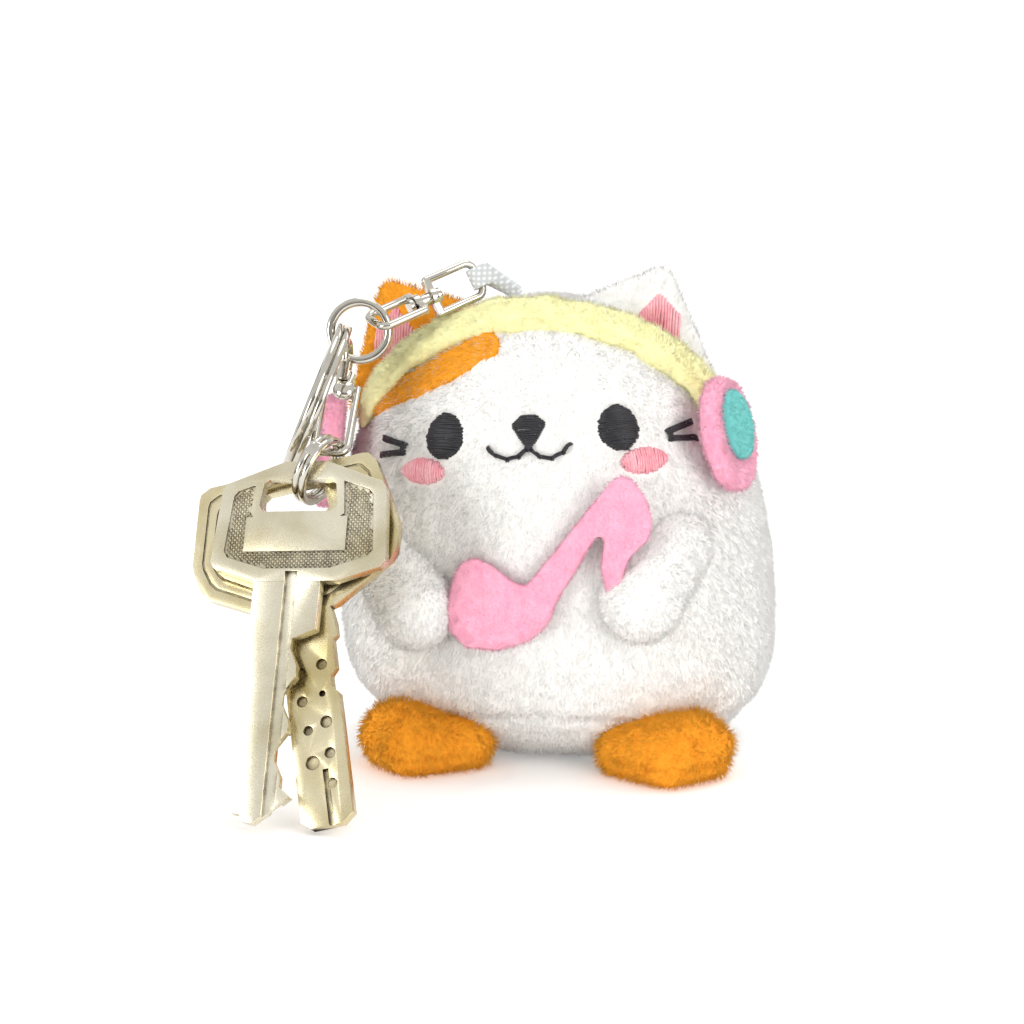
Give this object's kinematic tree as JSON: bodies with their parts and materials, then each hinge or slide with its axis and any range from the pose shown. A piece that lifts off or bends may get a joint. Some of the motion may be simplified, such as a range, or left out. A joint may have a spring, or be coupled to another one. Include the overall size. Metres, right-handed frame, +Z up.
{
  "type": "plush keychain",
  "caption": "Plush keychain: stuffed cat with headphones and a music note, woven loop, swivel, split rings, snap clip and two keys.",
  "frame": {"origin": "middle of the flat base that the plush stands on", "axes": "+Z up, the face looks along -Y, the keys hang at -X"},
  "size_m": [0.0835, 0.0907, 0.0768],
  "materials": {
    "white_plush": "short plush pile",
    "polyester_fill": "loose fibre",
    "orange_plush": "short plush pile",
    "yellow_plush": "short plush pile",
    "pink_plush": "short plush pile",
    "teal_plush": "short plush pile",
    "black_thread": "satin stitch",
    "pink_thread": "satin stitch",
    "woven_ribbon": "woven",
    "nickel_plate": "polished nickel",
    "nickel_silver": "worn satin",
    "brass_key": "worn satin"
  },
  "bodies": {
    "root": {"body_cover": "white_plush", "stuffing": "polyester_fill", "base_panel": "white_plush", "head_patch": "orange_plush", "ear_left": "orange_plush", "ear_right": "white_plush", "ear_lining_left": "pink_thread", "ear_lining_right": "pink_thread", "headband": "yellow_plush", "cup_pad_left": "pink_plush", "cup_pad_right": "pink_plush", "cup_disc_left": "teal_plush", "cup_disc_right": "teal_plush", "eye_left": "black_thread", "eye_right": "black_thread", "nose_mouth": "black_thread", "cheek_left": "pink_thread", "cheek_right": "pink_thread", "whiskers_left": "black_thread", "whiskers_right": "black_thread", "arm_left": "white_plush", "arm_right": "white_plush", "music_note": "pink_plush", "foot_left": "orange_plush", "foot_right": "orange_plush", "ribbon_loop": "woven_ribbon"},
    "swivel_eye": {"swivel_eye": "nickel_plate", "swivel_rivet": "nickel_plate"},
    "swivel_loop": {"swivel_loop": "nickel_plate"},
    "upper_ring": {"upper_split_ring": "nickel_plate"},
    "clip": {"clip_wire": "nickel_plate", "clip_gate_pin": "nickel_plate"},
    "gate": {"clip_gate": "nickel_plate"},
    "lower_ring": {"lower_split_ring": "nickel_plate"},
    "key_front": {"key_front": "nickel_silver"},
    "key_rear": {"key_rear": "brass_key"},
    "large_ring": {"large_split_ring": "nickel_plate"}
  },
  "joints": [
    {"name": "swivel_tilt", "type": "hinge", "parent": "root", "child": "swivel_eye", "pos_m": [-0.0136, -0.004, 0.074], "axis": [-0.4477, 0.1097, 0.8874], "range_deg": [0, 30]},
    {"name": "swivel_spin", "type": "hinge", "parent": "swivel_eye", "child": "swivel_loop", "pos_m": [-0.02766, -0.01536, 0.06831], "axis": [0.742, 0.5994, 0.3003], "range_deg": [0, 40]},
    {"name": "upper_ring_tilt", "type": "hinge", "parent": "swivel_loop", "child": "upper_ring", "pos_m": [-0.02766, -0.01536, 0.06831], "axis": [-0.6623, 0.7247, 0.19], "range_deg": [0, 25]},
    {"name": "clip_swing", "type": "hinge", "parent": "upper_ring", "child": "clip", "pos_m": [-0.03169, -0.01711, 0.06308], "axis": [0.9011, 0.0604, -0.4295], "range_deg": [-4, 10]},
    {"name": "gate_open", "type": "hinge", "parent": "clip", "child": "gate", "pos_m": [-0.03104, -0.02108, 0.05983], "axis": [-0.0585, 0.626, -0.7777], "range_deg": [0, 16], "stiffness_Nm_per_rad": 0.0005},
    {"name": "lower_ring_tilt", "type": "hinge", "parent": "clip", "child": "lower_ring", "pos_m": [-0.03113, -0.0321, 0.05097], "axis": [0.9979, 0.0595, -0.0271], "range_deg": [-10, 10]},
    {"name": "key_front_swing", "type": "hinge", "parent": "lower_ring", "child": "key_front", "pos_m": [-0.0347, -0.036, 0.0448], "axis": [-0.1211, -0.8567, 0.5015], "range_deg": [-10, 10]},
    {"name": "key_rear_swing", "type": "hinge", "parent": "lower_ring", "child": "key_rear", "pos_m": [-0.0347, -0.036, 0.0448], "axis": [-0.1211, -0.8567, 0.5015], "range_deg": [-10, 3]},
    {"name": "large_ring_swing", "type": "hinge", "parent": "upper_ring", "child": "large_ring", "pos_m": [-0.0322, -0.01641, 0.0673], "axis": [-0.2369, 0.9576, -0.1641], "range_deg": [0, 20]}
  ]
}
